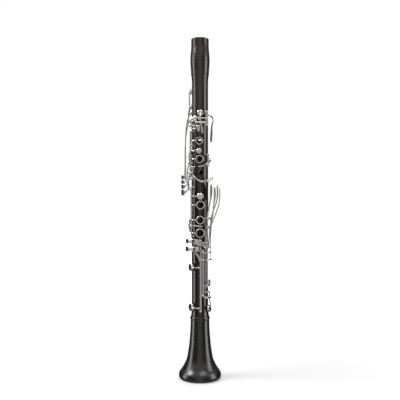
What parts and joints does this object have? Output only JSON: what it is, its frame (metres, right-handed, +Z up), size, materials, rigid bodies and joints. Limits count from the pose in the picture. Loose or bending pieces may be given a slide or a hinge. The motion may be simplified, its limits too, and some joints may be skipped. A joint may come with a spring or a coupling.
{
  "type": "clarinet",
  "caption": "Straight dark wooden clarinet without its mouthpiece, standing on its flared bell, with silver ring keys, side keys and little-finger levers on posts.",
  "frame": {"origin": "centre of the bell rim in the plane it stands on", "axes": "+Z up the bore towards the mouthpiece socket, -Y towards the front with the finger holes, +X towards the left-hand little-finger levers"},
  "size_m": [0.0736, 0.0736, 0.5904],
  "materials": {
    "brown_black_wood": "oiled satin",
    "black_wood": "oiled satin",
    "silver_plate": "polished silver plate",
    "steel": "turned steel",
    "blued_steel": "blued",
    "cork": "greased cork",
    "pad_skin": "skin over felt"
  },
  "bodies": {
    "bell": {"bell": "black_wood"},
    "lower_joint": {"lower_joint": "black_wood", "lower_posts": "silver_plate", "lower_hinge_rods": "steel", "lower_springs": "blued_steel", "lower_tenon_cork": "cork", "thumb_rest_plate": "silver_plate", "thumb_rest_screws": "steel"},
    "upper_joint": {"upper_joint": "brown_black_wood", "upper_posts": "silver_plate", "upper_hinge_rods": "steel", "upper_springs": "blued_steel", "upper_tenon_cork": "cork", "middle_tenon_cork": "cork", "register_vent": "silver_plate", "thumb_tube": "silver_plate"},
    "barrel": {"barrel": "brown_black_wood"},
    "thumb_hook": {"thumb_hook": "silver_plate", "thumb_rest_thumbscrew": "silver_plate"},
    "a_key": {"a_key": "silver_plate", "a_pad": "pad_skin"},
    "g_sharp_key": {"g_sharp_key": "silver_plate", "g_sharp_pad": "pad_skin"},
    "register_key": {"register_key": "silver_plate", "register_pad": "pad_skin"},
    "thumb_ring_key": {"thumb_ring_key": "silver_plate", "thumb_ring_pad": "pad_skin"},
    "index_ring_key": {"index_ring_key": "silver_plate"},
    "middle_ring_key": {"middle_ring_key": "silver_plate", "middle_ring_pad": "pad_skin"},
    "c_sharp_g_sharp_key": {"c_sharp_g_sharp_key": "silver_plate", "c_sharp_g_sharp_pad": "pad_skin"},
    "e_flat_sliver_key": {"e_flat_sliver_key": "silver_plate", "e_flat_sliver_pad": "pad_skin"},
    "first_side_key": {"first_side_key": "silver_plate", "first_side_pad": "pad_skin"},
    "second_side_key": {"second_side_key": "silver_plate", "second_side_pad": "pad_skin"},
    "third_side_key": {"third_side_key": "silver_plate", "third_side_pad": "pad_skin"},
    "fourth_side_key": {"fourth_side_key": "silver_plate", "fourth_side_pad": "pad_skin"},
    "lower_ring_key": {"lower_ring_key": "silver_plate", "lower_ring_pad": "pad_skin"},
    "f_sharp_sliver_key": {"f_sharp_sliver_key": "silver_plate", "f_sharp_sliver_pad": "pad_skin"},
    "e_b_key": {"e_b_key": "silver_plate", "e_b_pad": "pad_skin"},
    "f_sharp_c_sharp_key": {"f_sharp_c_sharp_key": "silver_plate", "f_sharp_c_sharp_pad": "pad_skin"},
    "f_c_key": {"f_c_key": "silver_plate"},
    "f_c_cup_lever": {"f_c_cup_lever": "silver_plate", "f_c_cup_pad": "pad_skin"},
    "a_flat_e_flat_key": {"a_flat_e_flat_key": "silver_plate", "a_flat_e_flat_pad": "pad_skin"},
    "left_e_b_lever": {"left_e_b_lever": "silver_plate"},
    "left_a_flat_lever": {"left_a_flat_lever": "silver_plate"},
    "left_f_c_lever": {"left_f_c_lever": "silver_plate"},
    "left_f_sharp_lever": {"left_f_sharp_lever": "silver_plate"}
  },
  "joints": [
    {"name": "lower_tenon_slide", "type": "slide", "parent": "bell", "child": "lower_joint", "axis": [0, 0, 1], "range_m": [0, 0.003]},
    {"name": "middle_tenon_slide", "type": "slide", "parent": "lower_joint", "child": "upper_joint", "axis": [0, 0, 1], "range_m": [0, 0.0015]},
    {"name": "barrel_tenon_slide", "type": "slide", "parent": "upper_joint", "child": "barrel", "axis": [0, 0, 1], "range_m": [0, 0.003]},
    {"name": "thumb_rest_slide", "type": "slide", "parent": "lower_joint", "child": "thumb_hook", "axis": [0, 0, 1], "range_m": [-0.005, 0.0045]},
    {"name": "a_hinge", "type": "hinge", "parent": "upper_joint", "child": "a_key", "pos_m": [0.0006, -0.01959, 0.443], "axis": [1, 0, 0], "range_deg": [0, 6], "stiffness_Nm_per_rad": 0.02, "springref_deg": -28.65},
    {"name": "g_sharp_hinge", "type": "hinge", "parent": "upper_joint", "child": "g_sharp_key", "pos_m": [-0.01394, -0.0117, 0.4378], "axis": [0.6428, -0.766, 0], "range_deg": [0, 7.5], "stiffness_Nm_per_rad": 0.02, "springref_deg": -28.65},
    {"name": "register_hinge", "type": "hinge", "parent": "upper_joint", "child": "register_key", "pos_m": [0.012, -0.014, 0.451], "axis": [0, 0, 1], "range_deg": [0, 5], "stiffness_Nm_per_rad": 0.02, "springref_deg": -28.65},
    {"name": "thumb_ring_hinge", "type": "hinge", "parent": "upper_joint", "child": "thumb_ring_key", "pos_m": [0.01183, 0.0141, 0.425], "axis": [0, 0, 1], "range_deg": [0, 5], "stiffness_Nm_per_rad": 0.02, "springref_deg": -28.65},
    {"name": "index_ring_hinge", "type": "hinge", "parent": "upper_joint", "child": "index_ring_key", "pos_m": [-0.0164, -0.0094, 0.416], "axis": [0, 0, 1], "range_deg": [0, 5.6], "stiffness_Nm_per_rad": 0.02, "springref_deg": -28.65},
    {"name": "middle_ring_hinge", "type": "hinge", "parent": "upper_joint", "child": "middle_ring_key", "pos_m": [-0.0164, -0.0094, 0.375], "axis": [0, 0, 1], "range_deg": [0, 5.6], "stiffness_Nm_per_rad": 0.02, "springref_deg": -28.65},
    {"name": "c_sharp_g_sharp_hinge", "type": "hinge", "parent": "upper_joint", "child": "c_sharp_g_sharp_key", "pos_m": [-0.013, -0.0129, 0.3566], "axis": [0, 0, 1], "range_deg": [0, 5], "stiffness_Nm_per_rad": 0.02, "springref_deg": -28.65},
    {"name": "e_flat_sliver_hinge", "type": "hinge", "parent": "upper_joint", "child": "e_flat_sliver_key", "pos_m": [0.01379, -0.01157, 0.3786], "axis": [0, 0, -1], "range_deg": [0, 6.5], "stiffness_Nm_per_rad": 0.02, "springref_deg": -28.65},
    {"name": "first_side_hinge", "type": "hinge", "parent": "upper_joint", "child": "first_side_key", "pos_m": [-0.01937, -0.00102, 0.447], "axis": [0.0523, -0.9986, 0], "range_deg": [0, 3.2], "stiffness_Nm_per_rad": 0.02, "springref_deg": -28.65},
    {"name": "second_side_hinge", "type": "hinge", "parent": "upper_joint", "child": "second_side_key", "pos_m": [-0.01834, 0.00632, 0.461], "axis": [-0.3256, -0.9455, 0], "range_deg": [0, 2.6], "stiffness_Nm_per_rad": 0.02, "springref_deg": -28.65},
    {"name": "third_side_hinge", "type": "hinge", "parent": "upper_joint", "child": "third_side_key", "pos_m": [-0.01749, 0.00502, 0.374], "axis": [-0.2756, -0.9613, 0], "range_deg": [0, 4.5], "stiffness_Nm_per_rad": 0.02, "springref_deg": -28.65},
    {"name": "fourth_side_hinge", "type": "hinge", "parent": "upper_joint", "child": "fourth_side_key", "pos_m": [-0.01454, 0.01095, 0.364], "axis": [-0.6018, -0.7986, 0], "range_deg": [0, 4.5], "stiffness_Nm_per_rad": 0.02, "springref_deg": -28.65},
    {"name": "lower_ring_hinge", "type": "hinge", "parent": "lower_joint", "child": "lower_ring_key", "pos_m": [-0.0147, -0.0128, 0.289], "axis": [0, 0, 1], "range_deg": [0, 7], "stiffness_Nm_per_rad": 0.02, "springref_deg": -28.65},
    {"name": "f_sharp_sliver_hinge", "type": "hinge", "parent": "lower_joint", "child": "f_sharp_sliver_key", "pos_m": [-0.0181, -0.0059, 0.266], "axis": [0, 0, 1], "range_deg": [0, 5], "stiffness_Nm_per_rad": 0.02, "springref_deg": -28.65},
    {"name": "e_b_hinge", "type": "hinge", "parent": "lower_joint", "child": "e_b_key", "pos_m": [0.0012, -0.01876, 0.18], "axis": [0, 0, -1], "range_deg": [0, 6.6], "stiffness_Nm_per_rad": 0.02, "springref_deg": -28.65},
    {"name": "f_sharp_c_sharp_hinge", "type": "hinge", "parent": "lower_joint", "child": "f_sharp_c_sharp_key", "pos_m": [0.0012, -0.01876, 0.197], "axis": [0, 0, -1], "range_deg": [0, 6.6], "stiffness_Nm_per_rad": 0.02, "springref_deg": -28.65},
    {"name": "f_c_hinge", "type": "hinge", "parent": "lower_joint", "child": "f_c_key", "pos_m": [0.0054, -0.01822, 0.184], "axis": [0, 0, -1], "range_deg": [0, 5.6], "stiffness_Nm_per_rad": 0.02, "springref_deg": -28.65},
    {"name": "f_c_cup_lever_hinge", "type": "hinge", "parent": "lower_joint", "child": "f_c_cup_lever", "pos_m": [0.0156, -0.00975, 0.1414], "axis": [0.5299, 0.848, 0], "range_deg": [0, 5.4], "stiffness_Nm_per_rad": 0.02, "springref_deg": -28.65},
    {"name": "a_flat_e_flat_hinge", "type": "hinge", "parent": "lower_joint", "child": "a_flat_e_flat_key", "pos_m": [0.0124, -0.01479, 0.196], "axis": [0, 0, -1], "range_deg": [0, 8], "stiffness_Nm_per_rad": 0.02, "springref_deg": -28.65},
    {"name": "left_e_b_lever_hinge", "type": "hinge", "parent": "lower_joint", "child": "left_e_b_lever", "pos_m": [0.0126, -0.01449, 0.278], "axis": [-0.7547, -0.6561, 0], "range_deg": [0, 1.8], "stiffness_Nm_per_rad": 0.02, "springref_deg": -28.65},
    {"name": "left_a_flat_lever_hinge", "type": "hinge", "parent": "lower_joint", "child": "left_a_flat_lever", "pos_m": [0.01663, -0.0096, 0.263], "axis": [-0.5, -0.866, 0], "range_deg": [0, 1.6], "stiffness_Nm_per_rad": 0.02, "springref_deg": -28.65},
    {"name": "left_f_c_lever_hinge", "type": "hinge", "parent": "lower_joint", "child": "left_f_c_lever", "pos_m": [0.01871, -0.00432, 0.278], "axis": [-0.225, -0.9744, 0], "range_deg": [0, 1.7], "stiffness_Nm_per_rad": 0.02, "springref_deg": -28.65},
    {"name": "left_f_sharp_lever_hinge", "type": "hinge", "parent": "lower_joint", "child": "left_f_sharp_lever", "pos_m": [0.01915, 0.00134, 0.263], "axis": [0.0698, -0.9976, 0], "range_deg": [0, 2.25], "stiffness_Nm_per_rad": 0.02, "springref_deg": -28.65}
  ],
  "couplings": [
    {"joint": "middle_ring_hinge", "follows": "lower_ring_hinge", "ratio": 0.8},
    {"joint": "left_e_b_lever_hinge", "follows": "e_b_hinge", "ratio": 0.27},
    {"joint": "left_a_flat_lever_hinge", "follows": "a_flat_e_flat_hinge", "ratio": 0.19},
    {"joint": "left_f_c_lever_hinge", "follows": "f_c_hinge", "ratio": 0.28},
    {"joint": "left_f_sharp_lever_hinge", "follows": "f_sharp_c_sharp_hinge", "ratio": 0.33},
    {"joint": "f_c_cup_lever_hinge", "follows": "f_c_hinge", "ratio": 0.964}
  ]
}
